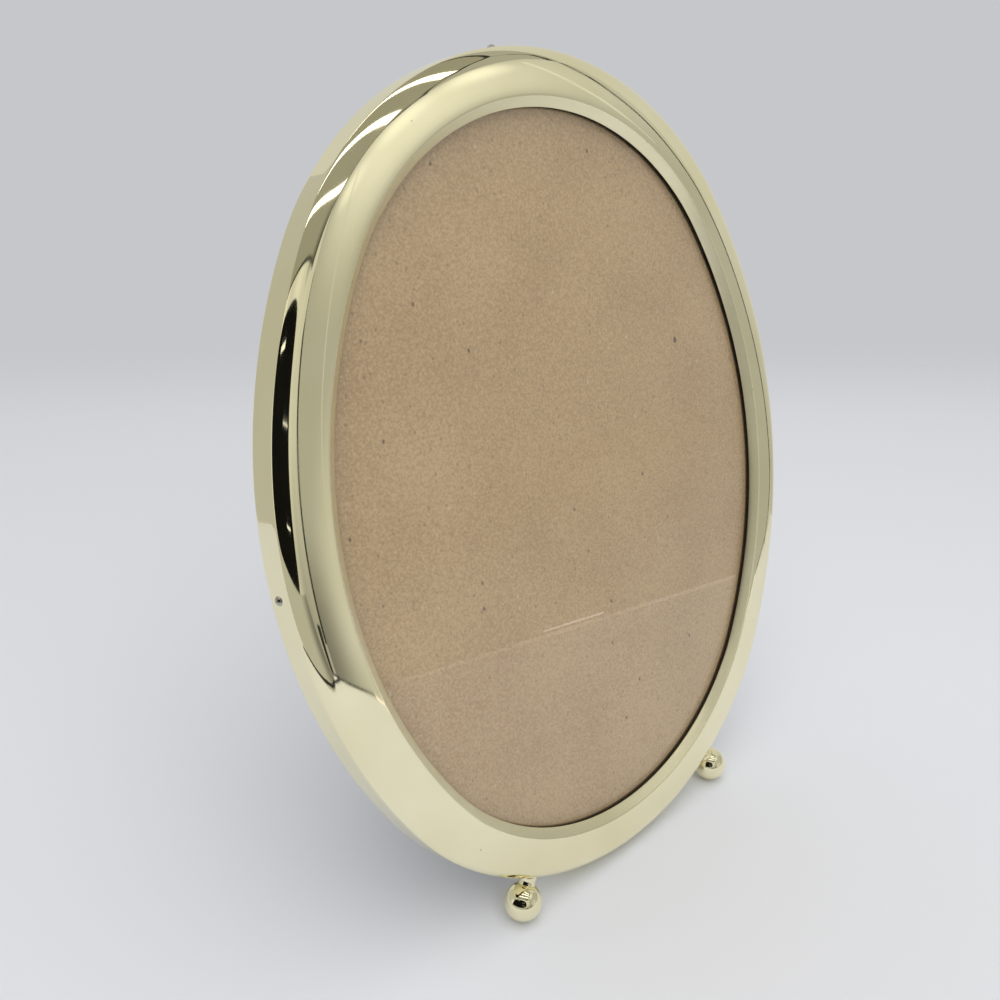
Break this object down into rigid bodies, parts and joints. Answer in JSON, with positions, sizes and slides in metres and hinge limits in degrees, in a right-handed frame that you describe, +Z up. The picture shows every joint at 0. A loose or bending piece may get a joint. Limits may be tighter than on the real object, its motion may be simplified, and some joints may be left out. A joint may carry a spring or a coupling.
{
  "type": "oval picture frame",
  "caption": "Tabletop oval picture frame: polished brass rim on ball feet, glass, chipboard backing, turn buttons and a folding easel leg on a steel hinge.",
  "frame": {"origin": "bottom centre of the whole frame's box, on the surface that it stands on", "axes": "+X is the viewer's right, +Z up, and the picture faces -Y, leaning back 13 degrees"},
  "size_m": [0.2292, 0.0978, 0.2752],
  "materials": {
    "polished_brass": "polished plating on pressed sheet and turned brass",
    "brass_hardware": "satin plated",
    "silver_steel": "polished",
    "zinc_steel": "zinc plated",
    "float_glass": "clear, polished",
    "chipboard": "raw grey-brown chipboard with flecks",
    "hardboard": "raw pressed board",
    "stained_fibreboard": "stained dark",
    "flocked_paper": "flocked",
    "flocked_board": "board covered with flocked paper"
  },
  "bodies": {
    "frame": {"rim_shell": "polished_brass", "rim_core": "stained_fibreboard", "rim_pins": "silver_steel", "glass_pane": "float_glass", "backing_board": "chipboard", "easel_back": "hardboard", "back_cover": "flocked_paper", "turn_button_washers": "brass_hardware", "turn_button_screws": "brass_hardware", "hinge_base": "zinc_steel", "hinge_base_rivets": "zinc_steel", "hinge_pin": "zinc_steel", "foot_ball_left": "polished_brass", "foot_stem_left": "polished_brass", "foot_stud_left": "zinc_steel", "foot_ball_right": "polished_brass", "foot_stem_right": "polished_brass", "foot_stud_right": "zinc_steel"},
    "leg": {"easel_leg": "flocked_board", "leg_leaf": "zinc_steel", "leg_rivets": "zinc_steel"},
    "turn_button_1_body": {"turn_button_1": "brass_hardware"},
    "turn_button_2_body": {"turn_button_2": "brass_hardware"},
    "turn_button_3_body": {"turn_button_3": "brass_hardware"},
    "turn_button_4_body": {"turn_button_4": "brass_hardware"}
  },
  "joints": [
    {"name": "leg_hinge", "type": "hinge", "parent": "frame", "child": "leg", "pos_m": [0, 0.00056, 0.15088], "axis": [1, 0, 0], "range_deg": [-30, 0]},
    {"name": "turn_button_1_swivel", "type": "hinge", "parent": "frame", "child": "turn_button_1_body", "pos_m": [0.06517, 0.02058, 0.24292], "axis": [0, -0.9744, 0.225], "continuous": true},
    {"name": "turn_button_2_swivel", "type": "hinge", "parent": "frame", "child": "turn_button_2_body", "pos_m": [-0.06517, 0.02058, 0.24292], "axis": [0, -0.9744, 0.225], "continuous": true},
    {"name": "turn_button_3_swivel", "type": "hinge", "parent": "frame", "child": "turn_button_3_body", "pos_m": [-0.06517, -0.02854, 0.03016], "axis": [0, -0.9744, 0.225], "continuous": true},
    {"name": "turn_button_4_swivel", "type": "hinge", "parent": "frame", "child": "turn_button_4_body", "pos_m": [0.06517, -0.02854, 0.03016], "axis": [0, -0.9744, 0.225], "continuous": true}
  ]
}
